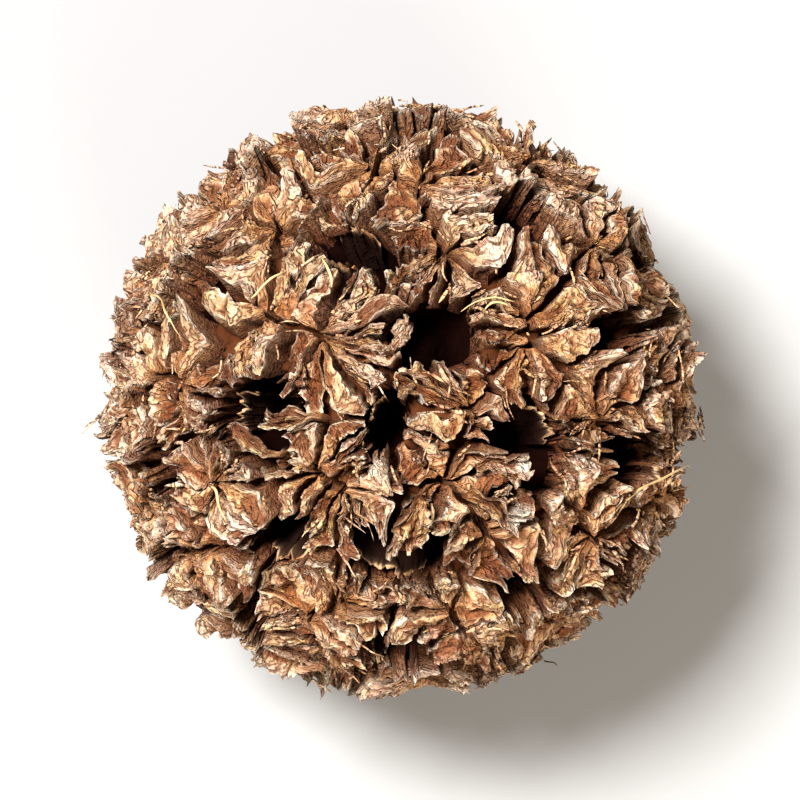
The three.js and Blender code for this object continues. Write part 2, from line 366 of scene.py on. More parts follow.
def all_mouths():
    """The mouths seen in the photograph, the stalk, and more spread out over the rest."""
    axes = [unit(on_head(x, y)) for x, y, *_ in UPPER_MOUTHS]
    axes.append(unit(STALK_TOWARDS))
    fixed = len(axes)
    order = np.arange(CANDIDATES)
    z = 1 - (2 * order + 1) / CANDIDATES
    turn = order * math.pi * (3 - math.sqrt(5))
    r = np.sqrt(1 - z * z)
    candidates = np.stack([r * np.cos(turn), r * np.sin(turn), z], axis=1)
    while True:
        nearest = np.arccos(np.clip(candidates @ np.array(axes).T, -1, 1)).min(axis=1)
        widest = int(np.argmax(nearest))
        if nearest[widest] * HEAD_RADIUS < MOUTH_GAP:
            break
        axes.append(unit(candidates[widest]))
    for _ in range(SPREADING_ROUNDS):
        for i in range(fixed, len(axes)):
            away = axes[i] - np.delete(np.array(axes), i, axis=0)
            push = (away / (away * away).sum(axis=1, keepdims=True) ** 2.5).sum(axis=0)
            axes[i] = unit(axes[i] + push * SPREADING_STEP)
    mouths = [Mouth(axis, *sizes) for axis, (_, _, *sizes) in zip(axes, UPPER_MOUTHS)]
    mouths.append(Mouth(axes[fixed - 1], STALK_ROOT * 2, STALK_ROOT * 2, 0, stalk=True))
    for i in range(fixed, len(axes)):
        draw = draws_from(i)
        length = mix(*MOUTH_LENGTH, draw())
        width = length * mix(*MOUTH_SHAPE, draw())
        mouths.append(Mouth(axes[i], length, width, draw() * 180))
    return mouths


def all_junctions(mouths):
    """Points as far from three mouths, or four, and from no other mouth nearer."""
    p = np.array([m.axis for m in mouths])
    junctions = []
    for corners in itertools.combinations(range(len(p)), 3):
        i, j, k = corners
        n = unit(np.cross(p[j] - p[i], p[k] - p[i]))
        if n.dot(p[i]) < 0:
            n = -n
        inside = p @ n > n.dot(p[i]) + 1e-9
        inside[list(corners)] = False
        if inside.any():
            continue
        near = [o for o in junctions if angle_between(o["at"], n) * HEAD_RADIUS < MERGE]
        if near:
            near[0]["at"] = unit(near[0]["at"] + n)
            near[0]["mouths"].update(corners)
        else:
            junctions.append({"at": n, "mouths": set(corners)})
    for index, junction in enumerate(junctions):
        junction["index"] = index
    return junctions


def ring_round(mouth, index, junctions):
    """The junctions round a mouth, in order, each with the point midway to the next."""
    ring = [dict(o, angle=mouth.seen(o["at"])[0]) for o in junctions if index in o["mouths"]]
    ring.sort(key=lambda corner: corner["angle"])
    for i, corner in enumerate(ring):
        low, high = sorted([corner, ring[(i + 1) % len(ring)]], key=lambda c: c["index"])
        draw = draws_from(1000 + low["index"] * 97 + high["index"])
        corner["middle"] = unit(mix(low["at"], high["at"], mix(*MIDDLE_SHARE, draw())))
    return ring


class Scale:
    """One scale: the lines along the sides of its back and its foot, and the end at the mouth."""


def scale_at(mouth, path, root, start, stop, draw):
    """The scale whose cell is this path, and whose end faces these angles of the mouth."""
    lift = about(draw, RISE_SPREAD)
    middle = unit(np.sum(path, axis=0))

    def at(towards, rise):
        return unit(towards) * (HEAD_RADIUS + lift + rise)

    def inset(p, by):
        far = angle_between(p, middle) * HEAD_RADIUS
        return mix(p, middle, min(by / far, 0.45))

    def reach(angle):
        return mouth.lip_spread(angle) - mix(*OVERHANG, draw())

    slack = min(CRACK / mouth.width * 1.6, (stop - start) * 0.2)
    first = start + slack
    last = stop - slack
    tip_share = mix(*TIP_SHARE, draw())
    tip_angle = mix(first, last, tip_share)

    def corner(angle):
        towards = mouth.direction(angle, reach(angle))
        return at(towards, CORNER_RISE + about(draw, CORNER_SPREAD))

    scale = Scale()
    scale.left = corner(first)
    scale.right = corner(last)
    tip_towards = mouth.direction(tip_angle, reach(tip_angle) - TIP_OVERHANG * draw())
    scale.tip = at(tip_towards, TIP_RISE + about(draw, CORNER_SPREAD))
    scale.tip_share = tip_share
    top = []
    for p in path[1:-1]:
        if p is root:
            top.append(at(inset(p, ROOT_INSET), ROOT_RISE + ROOT_LIFT + about(draw, 0.3)))
            at_root = len(top) - 1
        else:
            top.append(at(inset(p, SIDE_INSET), SIDE_RISE + about(draw, CORNER_SPREAD)))
    scale.crest = HEAD_RADIUS + lift + CREST_RISE + about(draw, CORNER_SPREAD)
    foot = [p * FOOT_DEPTH for p in path]
    for k in (0, -1):
        foot[k] = unit(path[k] + (path[k] - mouth.axis) * UNDERCUT / 2) * FOOT_DEPTH
    scale.top_left = top[at_root::-1] + [scale.left]
    scale.top_right = top[at_root:] + [scale.right]
    scale.foot_left = foot[at_root + 1::-1]
    scale.foot_right = foot[at_root + 1:]
    scale.width = np.linalg.norm(scale.right - scale.left)
    scale.length = np.linalg.norm(scale.tip - top[at_root])
    return scale


def scales_round(mouth, index, junctions):
    """The scales between a mouth and the junctions round it, one to three to a junction."""
    ring = ring_round(mouth, index, junctions)
    mouth.most = min(mouth.seen(corner["middle"])[1] for corner in ring) * LIP_SHARE

    def lip_at(angle):
        return mouth.direction(angle, mouth.lip_spread(angle))

    scales = []
    for i, corner in enumerate(ring):
        before = ring[i - 1]["middle"]
        draw = draws_from(20000 + index * 131 + corner["index"])
        start = mouth.seen(before)[0]
        stop = mouth.seen(corner["middle"])[0]
        if start > corner["angle"]:
            start -= 2 * math.pi
        if stop < corner["angle"]:
            stop += 2 * math.pi
        spread = mouth.seen(corner["at"])[1]
        half_way = (spread + mouth.reach(corner["angle"])) / 2
        wanted = (stop - start) * half_way / SCALE_WIDTH + about(draw, 0.9)
        count = min(MOST_SCALES, max(1, math.floor(wanted + 0.5)))
        inner = [(k + about(draw, CUT_SPREAD)) / count for k in range(1, count)]
        cuts = [start, *(mix(start, stop, share) for share in inner), stop]
        root = corner["at"]
        for k in range(count):
            path = [lip_at(cuts[k])]
            if k == 0:
                path.append(before)
            path.append(root)
            if k == count - 1:
                path.append(corner["middle"])
            path.append(lip_at(cuts[k + 1]))
            scales.append(scale_at(mouth, path, root, cuts[k], cuts[k + 1], draw))
    return scales


# Finer shapes

def along(line, share):
    """The points at these shares of a line's length."""
    line = np.array(line)
    place = np.concatenate([[0], np.cumsum(np.linalg.norm(np.diff(line, axis=0), axis=1))])
    return np.stack([np.interp(share, place / place[-1], line[:, i]) for i in range(3)], axis=-1)


def ripple(rng, x, cycles, waves=4):
    """Smooth noise from about -1 to 1."""
    total = np.zeros_like(x)
    for _ in range(waves):
        total = total + np.sin(2 * np.pi * (x * cycles * rng.uniform(0.5, 1.5) + rng.random()))
    return total / math.sqrt(waves * 2)


class Shape:
    """Vertices, faces and what the materials read at each vertex."""

    def __init__(self):
        self.points = []
        self.faces = []
        self.facts = []
        self.count = 0

    def add(self, points, faces, facts):
        self.points.append(points)
        self.faces.extend([tuple(i + self.count for i in face) for face in faces])
        self.facts.append(facts)
        self.count += len(points)


def facts_of(along, deep=0, raised=0, tone=0, grain_across=0, grain_along=0, highlit_edge=0):
    """The columns named above, each from one value for all vertices or an array of them."""
    columns = np.broadcast_arrays(along, deep, raised, tone, grain_across, grain_along, highlit_edge)
    return np.stack(columns, axis=-1).reshape(-1, len(columns))


def quads(grid):
    """The faces between the rows and columns of a grid of points."""
    corners = (grid[:-1, :-1], grid[:-1, 1:], grid[1:, 1:], grid[1:, :-1])
    return np.stack(corners, axis=-1).reshape(-1, 4).tolist()


@functools.cache
def sliver_faces(columns):
    """The faces of one sliver: its back and sides, its end, its foot and its root."""
    ring = 2 * WALL + columns + 1
    body = np.arange((ROWS + 1) * ring).reshape(-1, ring)
    end = np.empty((WALL + 1, columns + 1), int)
    end[0] = body[-1, WALL:-WALL]
    end[1:, 0] = body[-1, WALL - 1::-1]
    end[1:, -1] = body[-1, -WALL:]
    end[1:, 1:-1] = body.size + np.arange(WALL * (columns - 1)).reshape(WALL, -1)
    foot = quads(body[:-1, [0, -1]].T)
    under = np.concatenate([body[-2, :1], end[-1], body[-2, -1:]]).tolist()
    return quads(body) + quads(end) + foot + [under, body[0, ::-1].tolist()]


def value_noise(points):
    """Noise from 0 to 1 at points in space, with cells one unit wide."""
    cell = np.floor(points).astype(np.int64)
    t = points - cell
    t = t * t * (3 - 2 * t)
    total = np.zeros(points.shape[:-1])
    for corner in np.ndindex(2, 2, 2):
        at = cell + corner
        n = (at[..., 0] * 73856093) ^ (at[..., 1] * 19349663) ^ (at[..., 2] * 83492791)
        n = ((n ^ (n >> 13)) * 1274126177) & 0xFFFFFFFF
        n = ((n ^ (n >> 16)) * 2246822519) & 0xFFFFFFFF
        weight = np.prod(np.where(corner, t, 1 - t), axis=-1)
        total += weight * (n / 0xFFFFFFFF)
    return total


class Ridges:
    """The ridges that run along a sliver's back, with a groove between each two."""

    def __init__(self, rng, start, stop, scale):
        self.rng = rng
        self.scale = scale
        count = max(1, round((stop - start) * scale.width / RIDGE_SPACING * rng.uniform(0.8, 1.2)))
        step = (stop - start) / count
        self.middles = start + step * (np.arange(count) + 0.5 + rng.uniform(-0.15, 0.15, count))
        self.grooves = start + step * (np.arange(1, count) + rng.uniform(-0.25, 0.25, count - 1))
        self.depths = rng.uniform(0.45, 1.3, count - 1) * GROOVE_DEPTH
        self.heights = rng.normal(0, RIDGE_STEP, count)
        self.ends = rng.normal(0, END_STEP, count)
        self.bites = rng.random(count) ** 1.7

    def reach(self, w):
        """How far along the sliver each column ends, from 0 to 1."""
        nearest = np.abs(w[:, None] - self.middles).argmin(axis=1)
        bite = 0.7 * self.bites[nearest] + 0.3 * np.interp(w, self.middles, self.bites)
        for groove, depth in zip(self.grooves, self.depths):
            off = (w - groove) * self.scale.width / NOTCH
            bite = bite + 0.9 * depth * np.exp(-(off**2))
        return 1 - bite * TORN / self.scale.length

    def relief(self, share, w, seed):
        """The back's height in millimetres at shares along and across."""
        rng = self.rng
        across = w * self.scale.width
        ahead = share * self.scale.length
        late = np.clip((share - 0.6) / 0.4, 0, 1) ** 2
        total = np.interp(w, self.middles, self.heights) * np.clip(share * 1.8, 0, 1)
        total = total + np.interp(w, self.middles, self.ends) * late
        for groove, depth in zip(self.grooves, self.depths):
            middle = groove * self.scale.width + 0.07 * ripple(rng, ahead, 0.5)
            deep = depth * np.clip(0.8 + 0.55 * ripple(rng, ahead, 0.35), 0, 1.2)
            off = np.abs(across - middle) / (RIDGE_SPACING / 2)
            total -= deep * np.clip(1 - off, 0, 1) ** 1.6
        where = np.stack([across, ahead, np.full_like(across, seed)], axis=-1)
        coarse = value_noise(where * (3.1, 1.8, 1))
        fine = value_noise(where * (6.3, 4.0, 1) + 11)
        total += RUGGED * ((coarse - 0.5) * 1.4 + (np.abs(2 * fine - 1) - 0.45) * 1.1)
        for _ in range(rng.poisson(CROSS_CRACKS)):
            crack = rng.uniform(0.2, 0.9) * self.scale.length
            off = ahead - crack - rng.uniform(-0.9, 0.9) * (across - across.mean())
            off = off - 0.1 * ripple(rng, across, 1)
            total -= rng.uniform(0.1, 0.3) * np.exp(-((off / 0.1) ** 2))
            total -= rng.uniform(-0.1, 0.16) * (off > 0)
        return total


def back_at(scale, share, across):
    """Points of a scale's plain back, which narrows to its tip, and the back's width there."""
    left = along(scale.top_left, share)
    right = along(scale.top_right, share)
    across = across[..., None]
    near = np.clip(across / scale.tip_share, 0, 1)
    far = np.clip((across - scale.tip_share) / (1 - scale.tip_share), 0, 1)
    tipped = np.where(across < scale.tip_share,
                      mix(scale.left, scale.tip, near),
                      mix(scale.tip, scale.right, far))
    plain = mix(scale.left, scale.right, across)
    back = mix(left, right, across) + share[..., None] ** 3 * (tipped - plain)
    return back, np.linalg.norm(right - left, axis=-1)


def down(top, foot, depth, lean):
    """A point part of the way down a side. The lean says how late it goes over to the foot."""
    drop = foot - top
    outward = unit(top)
    inner = (drop * outward).sum(axis=-1, keepdims=True) * outward
    return top + inner * depth + (drop - inner) * depth**lean


def sliver_facts(body, s, w, grain, scale, tone):
    """What the materials read on a sliver: first on its back and sides, then on its end."""
    deep = np.concatenate([DEPTHS[::-1], 0 * w, DEPTHS])
    edges = np.concatenate([w[0] + 0 * DEPTHS, w, w[-1] + 0 * DEPTHS]) * scale.width
    edges[:WALL] -= DEPTHS[::-1] * GRAIN_DOWN
    edges[-WALL:] += DEPTHS * GRAIN_DOWN
    rim = np.zeros(body.shape[:2])
    rim[:, [WALL, -WALL - 1]] = 1
    raised = rim * RIM
    raised[:, WALL:-WALL] += grain
    raised[-1, WALL:-WALL] += RIM
    rim[-1, WALL:-WALL] = 1
    # The rims' painted highlight, in patches, towards the ends
    rim_highlight = np.clip(2.6 * value_noise(body * 2.2) - 0.7, 0, 1)
    s = s[:, None]
    rim_highlight = rim * rim_highlight * np.clip(s * 2 - 0.3, 0, 1)
    down_end = DEPTHS[:, None]
    inside = w[1:-1] * scale.width
    apart = tone * 50
    return np.concatenate([
        facts_of(s, deep, raised, tone, edges + apart, s * scale.length, rim_highlight),
        facts_of(1, down_end, 0, tone, inside + apart, scale.length + down_end * GRAIN_DOWN),
    ])


def sliver(scale, start, stop, lift, cut_back, rng, tone):
    """One sliver of a scale, from share start to share stop of the scale's width."""
    width = (stop - start) * scale.width
    columns = int(np.clip(round(width / COLUMN), *COLUMNS))
    ridges = Ridges(rng, start, stop, scale)
    point = mix(start, stop, rng.uniform(*TIP_SHARE))
    taper = rng.uniform(*END_TAPER)
    skew = rng.normal(0, SKEW)
    first = rng.uniform(0, 0.05) if rng.random() < 0.75 else rng.uniform(0.05, 0.25)
    s = np.linspace(first, 1, ROWS + 1)
    w = np.linspace(start, stop, columns + 1)
    share = s[:, None] * (ridges.reach(w) - cut_back)
    late = np.clip((share - 0.55) / 0.45, 0, 1) ** 2
    across = point + (w - point) * (1 - taper * late) + skew * (share**2 - 0.25 * share)
    back, local = back_at(scale, share, across)
    radial = unit(back)
    aside = unit(np.cross(radial, unit(scale.tip - scale.top_left[0])))

    # The back swells to its crest, and it is ridged, tilted and worn at its sides
    radius = np.linalg.norm(back, axis=-1)
    swell = np.clip(scale.crest - np.median(radius), *SWELL)
    inside = np.clip(across, 0, 1)
    swell *= rng.uniform(*DOMED)
    dome = swell * 4 * inside * (1 - inside) * np.sin(np.pi * share**0.75) ** 0.6
    grain = ridges.relief(share, w + 0 * share, tone * 300 + start * 7)
    half = 2 * (w - start) / (stop - start) - 1
    tilt = rng.normal(0, TILT) * half * width
    bumps = BUMPS * ripple(rng, share + 0.3 * across, 1.6)
    fade = np.clip(share * 2.2, 0.2, 1)
    height = dome + (grain + bumps + lift + tilt) * fade - rng.uniform(*EDGE_WEAR) * np.abs(half) ** 4
    sway = 0
    for side in (1 - half, 1 + half):
        own = ripple(rng, s, 1.6) + 0.6 * ripple(rng, s, 4.0)
        sway = sway + EDGE_SWAY / 2 * own[:, None] * side * np.clip(local, 0.2, 1)
    back = back + radial * height[..., None] - aside * sway[..., None]

    # The sides go down to the foot, and so does the torn end
    depth = DEPTHS[:, None]
    foot = [along(line, s)[:, None] for line in (scale.foot_left, scale.foot_right)]
    near_side = down(back[:, :1], mix(*foot, start), depth[::-1], 2.2)
    far_side = down(back[:, -1:], mix(*foot, stop), depth, 2.2)
    body = np.concatenate([near_side, back, far_side], axis=1)
    wobble = rng.normal(0, ROUGH_SIDES, body.shape)
    wobble[:, WALL:-WALL] *= ROUGH_BACK
    body = body + wobble
    foot_end = mix(foot[0][-1], foot[1][-1], w[1:-1, None])
    depth = depth[..., None]
    torn = rng.normal(0, ROUGH_END, (WALL, *foot_end.shape)) * (depth < 1)
    end = down(back[-1, 1:-1], foot_end, depth, 0.8) + torn
    points = np.concatenate([body.reshape(-1, 3), end.reshape(-1, 3)])
    return points, sliver_faces(columns), sliver_facts(body, s, w, grain, scale, tone)


def slivers_of(scale, rng, shape):
    """A scale, whole or split lengthwise."""
    tone = rng.random()
    parts = round(scale.width / SLIVER_WIDTH + rng.uniform(-0.6, 0.6))
    parts = int(np.clip(parts, 1, MOST_SLIVERS))
    cuts = np.linspace(0, 1, parts + 1)
    cuts[1:-1] += rng.uniform(-0.3, 0.3, parts - 1) / parts
    cuts[0] += rng.uniform(*MARGIN)
    cuts[-1] -= rng.uniform(*MARGIN)
    gap = SPLIT_GAP * rng.uniform(0.2, 1.8) / scale.width / 2
    broken = rng.random() < BROKEN
    for k in range(parts):
        start = cuts[k] + (gap if k else 0)
        stop = cuts[k + 1] - (gap if k < parts - 1 else 0)
        lift = rng.uniform(*(SLIVER_LIFT if parts > 1 else WHOLE_LIFT))
        cut_back = rng.uniform(0, CUT_BACK) * (parts > 1)
        if broken:
            lift -= BROKEN_DROP
            cut_back += BROKEN_BACK
        own = float(np.clip(tone + rng.uniform(-TONE_SPREAD, TONE_SPREAD), 0, 1))
        shape.add(*sliver(scale, start, stop, lift, cut_back, rng, own))


def fine_ball():
    """Directions spread over a ball, and the faces between them."""
    made = bmesh.new()
    bmesh.ops.create_icosphere(made, subdivisions=7, radius=1.0)
    made.verts.index_update()
    towards = unit([v.co for v in made.verts])
    faces = [tuple(v.index for v in face.verts) for face in made.faces]
    made.free()
    return towards, faces


def capsules_core(mouths, shape):
    """The woody core, a fine ball that sinks into a funnel at each mouth."""
    towards, faces = fine_ball()
    axes = np.array([m.axis for m in mouths])
    nearest = np.argmax(towards @ axes.T, axis=1)
    rough = value_noise(towards * HEAD_RADIUS * 1.7) + 0.5 * value_noise(towards * HEAD_RADIUS * 4)
    radius = CORE_RADIUS + CORE_ROUGH * (rough - 0.75)
    depth = np.zeros(len(towards))
    for index, mouth in enumerate(mouths):
        if mouth.stalk:
            continue
        mine = np.nonzero(nearest == index)[0]
        own = towards[mine]
        angle = np.arctan2(own @ mouth.up, own @ mouth.across)
        spread = np.arccos(np.clip(own @ mouth.axis, -1, 1)) * HEAD_RADIUS
        ragged = value_noise(own * HEAD_RADIUS * 1.6) - 0.5
        share = spread / mouth.lip_spread(angle) + 0.3 * ragged
        sink = np.clip((1.3 - share) / 0.5, 0, 1)
        sink = sink * sink * (3 - 2 * sink)
        off = spread * np.sin(angle - math.radians(mouth.turn)) / PARTITION_WIDTH
        depth[mine] = sink * (1 - PARTITION_RISE * np.exp(-(off**2)))
    radius = radius - depth * (CORE_RADIUS - PIT_END_RADIUS)
    shape.add(towards * radius[:, None], faces, facts_of(depth))


def tube_faces(rows, columns):
    """Faces over rows of points, closed round the columns and at both ends."""
    grid = np.arange(rows * columns).reshape(rows, columns)
    around = quads(np.column_stack([grid, grid[:, 0]]))
    return around + [grid[0, ::-1].tolist(), grid[-1].tolist()]


def valves_of(mouth, rng, shape):
    """The thin broken edges of a capsule's two valves, standing inside its mouth."""
    for side in (0, 1):
        middle = math.radians(mouth.turn) + math.pi * side + rng.uniform(-0.5, 0.5) + math.pi / 2
        half = rng.uniform(0.35, 1.15)
        if rng.random() < VALVES_LOST:
            continue
        angle = middle + np.linspace(-half, half, VALVE_STEPS)
        spread = mouth.lip_spread(angle) * rng.uniform(0.82, 0.98) + 0.16 * ripple(rng, angle, 0.9)
        spread = spread + rng.normal(0, 0.03, VALVE_STEPS)
        fade = np.sin(np.linspace(0.12, math.pi - 0.12, VALVE_STEPS)) ** 0.5
        broken = 0.3 * ripple(rng, angle, 1.4) + rng.normal(0, 0.2, VALVE_STEPS)
        top = LIP_RADIUS - 0.3 + fade * rng.uniform(0.5, 1.6) + broken
        thick = VALVE_THICKNESS * fade * rng.uniform(0.6, 1.7, VALVE_STEPS)
        rows = []
        for offset, share, _ in VALVE_PROFILE:
            own = mix(VALVE_FOOT, top, share) + rng.normal(0, 0.04, VALVE_STEPS) * (share > 0)
            lean = spread + offset * thick - (own - 11.4) * 0.1
            lean = lean + rng.normal(0, 0.045, VALVE_STEPS)
            rows.append(mouth.direction(angle, lean) * own[:, None])
        points = np.stack(rows, axis=1).reshape(-1, 3)
        pale = np.tile([pale for _, _, pale in VALVE_PROFILE], VALVE_STEPS)
        facts = facts_of(pale, tone=rng.random())
        faces = tube_faces(VALVE_STEPS, len(rows))
        faces[-2:] = [face[::-1] for face in faces[-2:]]
        shape.add(points, faces, facts)


def rod(line, radii, sides, rng, uneven):
    """A closed uneven rod along a line of points."""
    line = np.asarray(line, float)
    tangent = unit(np.gradient(line, axis=0))
    helper = np.where(np.abs(tangent[:, [2]]) < 0.9, np.array([[0, 0, 1.0]]), np.array([[1.0, 0, 0]]))
    side = unit(np.cross(tangent, helper))
    other = np.cross(tangent, side)
    turn = np.linspace(0, 2 * math.pi, sides, endpoint=False)
    rows = []
    for k, centre in enumerate(line):
        reach = radii[k] * (1 + uneven * rng.uniform(-1, 1, sides))
        ring = np.cos(turn)[:, None] * side[k] + np.sin(turn)[:, None] * other[k]
        rows.append(centre + ring * reach[:, None])
    return np.concatenate(rows), tube_faces(len(line), sides)


def flake(start, end, width, rises, thickness):
    """A small scale of its own, from one point seen from the centre to another."""
    top_start = unit(start) * (HEAD_RADIUS + rises[0])
    top_end = unit(end) * (HEAD_RADIUS + rises[1])
    aside = unit(np.cross(top_start, top_end - top_start)) * width / 2
    place, wide, sunk = np.array(FLAKE_PROFILE).T[:, :, None]
    middle = mix(top_start, top_end, place)
    made = Scale()
    made.top_left = middle + aside * wide
    made.top_right = middle - aside * wide
    made.foot_left = made.top_left - unit(made.top_left) * thickness * sunk - aside * 0.3
    made.foot_right = made.top_right - unit(made.top_right) * thickness * sunk + aside * 0.3
    made.left = made.top_left[-1]
    made.right = made.top_right[-1]
    made.tip = top_end + unit(top_end - top_start) * width * 0.25
    made.tip_share = 0.5
    made.width = width
    made.length = np.linalg.norm(top_end - top_start)
    made.crest = HEAD_RADIUS + sum(rises) / 2 + 0.1
    return made


def beside_crack(scales, rng, shares, step):
    """A point on a scale's side, the way along the crack there, the way across it and the way out."""
    scale = scales[rng.integers(len(scales))]
    line = scale.top_left if rng.random() < 0.5 else scale.top_right
    share = rng.uniform(*shares)
    start = along(line, share)
    ahead = unit(along(line, share + step) - start)
    outward = unit(start)
    return start, ahead, np.cross(ahead, outward), outward


def flakes(scales, rng, shape):
    """Loose-looking flakes that stand in the cracks and lean over the scales beside them."""
    for _ in range(FLAKES):
        start, ahead, aside, _ = beside_crack(scales, rng, (0.0, 0.55), 0.35)
        length = rng.uniform(0.8, 1.7)
        end = start + unit(ahead + aside * rng.normal(0, 0.4)) * length
        base = np.linalg.norm(start) - HEAD_RADIUS
        rises = (base - 0.05, base + rng.uniform(0.1, 0.4) + 0.1 * length)
        made = flake(start, end, rng.uniform(0.35, 0.75), rises, rng.uniform(0.5, 0.9))
        shape.add(*sliver(made, 0.0, 1.0, 0.0, 0.0, rng, rng.random()))


def long_ends(rng, shape):
    """The scales that reach out over a mouth in the photograph, as seen from above."""
    for start, end, width, rise, droop in LONG_ENDS:
        made = flake(on_head(*start), on_head(*end), width, (rise, rise + droop), 1.0)
        shape.add(*sliver(made, 0.0, 1.0, 0.0, 0.0, rng, rng.random()))


def splinters(scales, rng, shape):
    """Crumbs and splinters of cork that lie in the cracks between scales."""
    steps = np.linspace(-0.5, 0.5, len(SPLINTER_RADII))
    for _ in range(SPLINTERS):
        start, ahead, aside, outward = beside_crack(scales, rng, (0.1, 0.85), 0.1)
        ahead = unit(ahead + aside * rng.normal(0, 0.5) + outward * rng.normal(0.15, 0.35))
        length = rng.uniform(0.35, 1.1)
        middle = start + aside * rng.normal(0, 0.12) + outward * rng.uniform(-0.5, 0.12)
        bend = aside * rng.normal(0, 0.12)
        line = [middle + ahead * length * t + bend * (t * t) for t in steps]
        made, faces = rod(line, rng.uniform(0.035, 0.11) * SPLINTER_RADII, ROD_SIDES, rng, 0.35)
        far = np.repeat(steps * length, ROD_SIDES)
        shape.add(made, faces, facts_of(rng.uniform(0.5, 1), tone=rng.random(), grain_along=far))


def shards(scales, rng, shape):
    """Thin shards split from the scales' sides, standing a little off them."""
    steps = np.linspace(0, 1, len(SHARD_RADII))
    for _ in range(SHARDS):
        start, ahead, aside, outward = beside_crack(scales, rng, (0.15, 0.75), 0.2)
        length = rng.uniform(0.6, 1.7)
        ahead = unit(ahead + aside * rng.normal(0, 0.35) + outward * rng.normal(0.03, 0.12))
        start = start + aside * rng.normal(0, 0.14) + outward * rng.uniform(-0.2, 0.22)
        curl = aside * rng.normal(0, 0.2) + outward * rng.normal(0.0, 0.1)
        line = [start + ahead * length * t + curl * t * t for t in steps]
        made, faces = rod(line, rng.uniform(0.03, 0.075) * SHARD_RADII, ROD_SIDES, rng, 0.4)
        far = np.repeat(steps * length, ROD_SIDES)
        shape.add(made, faces, facts_of(1, raised=0.03, tone=rng.random(), grain_along=far))


def fibres(rng, shape):
    """Loose stiff fibres: those that the photograph shows, as lines seen from above."""
    t = np.linspace(0, 1, len(FIBRE_RADII))
    arch = np.sin(math.pi * t)
    for (x0, y0), (x1, y1), rise in FIBRES:
        x = mix(x0, x1, t)
        y = mix(y0, y1, t) + 0.15 * arch
        z = np.sqrt(np.maximum(HEAD_RADIUS**2 - x**2 - y**2, 0)) + rise + 0.25 * arch
        made, faces = rod(np.stack([x, y, z], axis=1), FIBRE_RADII, FIBRE_SIDES, rng, 0.15)
        shape.add(made, faces, facts_of(np.ones(len(made)), tone=rng.random()))


def stalk_end(mouth, rng, shape):
    """The broken end of the stalk, ribbed lengthwise, with a torn face."""
    angle = np.linspace(0, 2 * math.pi, STALK_SIDES, endpoint=False)
    ribs = 0.5 * ripple(rng, angle / (2 * math.pi), 9, 3) + rng.normal(0, 0.35, STALK_SIDES)
    torn = ripple(rng, angle / (2 * math.pi), 5, 3)
    rows = []
    for spread, radius, rib, tear in STALK_PROFILE:
        own = spread * (1 + 0.07 * rib * ribs) + rng.normal(0, 0.012, STALK_SIDES)
        height = radius + 0.22 * tear * torn + rng.normal(0, 0.02 + 0.09 * tear, STALK_SIDES)
        rows.append(mouth.direction(angle, own) * height[:, None])
    spreads, radii, _, tears = np.array(STALK_PROFILE).T[:, :, None]
    deep = 0.5 * tears * (spreads < 0.9)
    facts = facts_of(0.75, deep, 0.12 * ribs - 0.02, 0.3, angle * 1.25, radii)
    shape.add(np.concatenate(rows), tube_faces(len(rows), STALK_SIDES), facts)


# Materials

class Nodes:
    """A material's node tree, with short ways to add to it."""

    def __init__(self, name):
        self.material = bpy.data.materials.new(name)
        self.material.use_nodes = True
        self.tree = self.material.node_tree

    def set(self, node, inputs):
        """Sets a node's inputs: a number, a colour or a vector, or another node's output."""
        for key, value in inputs.items():
            socket = node.inputs[key]
            if isinstance(value, (int, float)):
                socket.default_value = value
            elif isinstance(value, tuple):
                socket.default_value = (*value, 1)[:len(socket.default_value)]
            else:
                self.tree.links.new(value, socket)

    def add(self, kind, inputs, **values):
        node = self.tree.nodes.new(kind)
        for key, value in values.items():
            setattr(node, key, value)
        self.set(node, inputs)
        return node

    def read(self, name, output="Vector"):
        return self.add("ShaderNodeAttribute", {}, attribute_name=name).outputs[output]

    def place(self):
        return self.add("ShaderNodeTexCoord", {}).outputs["Object"]

    def parts(self, vector):
        return self.add("ShaderNodeSeparateXYZ", {0: vector}).outputs

    def math(self, operation, a, b=0.0, clamp=False):
        inputs = {0: a, 1: b}
        return self.add("ShaderNodeMath", inputs, operation=operation, use_clamp=clamp).outputs[0]

    def beyond(self, value, level, gain):
        """From 0 at a level up to 1 over it, or under it where the gain is negative."""
        return self.math("MULTIPLY", self.math("SUBTRACT", value, level), gain, clamp=True)

    def ramp(self, value, stops):
        node = self.add("ShaderNodeValToRGB", {0: value})
        elements = node.color_ramp.elements
        while len(elements) < len(stops):
            elements.new(0.5)
        for element, (place, colour) in zip(elements, stops):
            element.position = place
            element.color = (*colour, 1)
        return node.outputs[0]

    def blend(self, share, a, b, kind="MIX"):
        inputs = {0: share, 6: a, 7: b}
        return self.add("ShaderNodeMix", inputs, data_type="RGBA", blend_type=kind).outputs[2]

    def paint(self, colour, share, strength, top):
        """A colour with another laid over a share of it."""
        return self.blend(self.math("MULTIPLY", share, strength), colour, top)

    def tint(self, colour, share, strength, tint):
        """A colour with a share of it multiplied by a tint."""
        return self.paint(colour, share, strength, self.blend(1.0, colour, tint, "MULTIPLY"))

    def noise(self, scale, detail=3.0, rough=0.6, where=None, stretch=(1.0, 1.0, 1.0)):
        where = where or self.place()
        where = self.add("ShaderNodeMapping", {"Vector": where, "Scale": stretch}).outputs[0]
        inputs = {"Vector": where, "Scale": scale, "Detail": detail, "Roughness": rough}
        return self.add("ShaderNodeTexNoise", inputs).outputs[0]

    def finish(self, colour, roughness, height, distance, strength=1.0, specular=0.5):
        """The finished material. Its bumps' distance is in millimetres."""
        inputs = {"Distance": distance * MM, "Strength": strength, "Height": height}
        bump = self.add("ShaderNodeBump", inputs).outputs[0]
        inputs = {"Base Color": colour, "Roughness": roughness, "Normal": bump}
        shader = self.tree.nodes["Principled BSDF"]
        shader.inputs["Specular IOR Level"].default_value = specular
        self.set(shader, inputs)
        return self.material


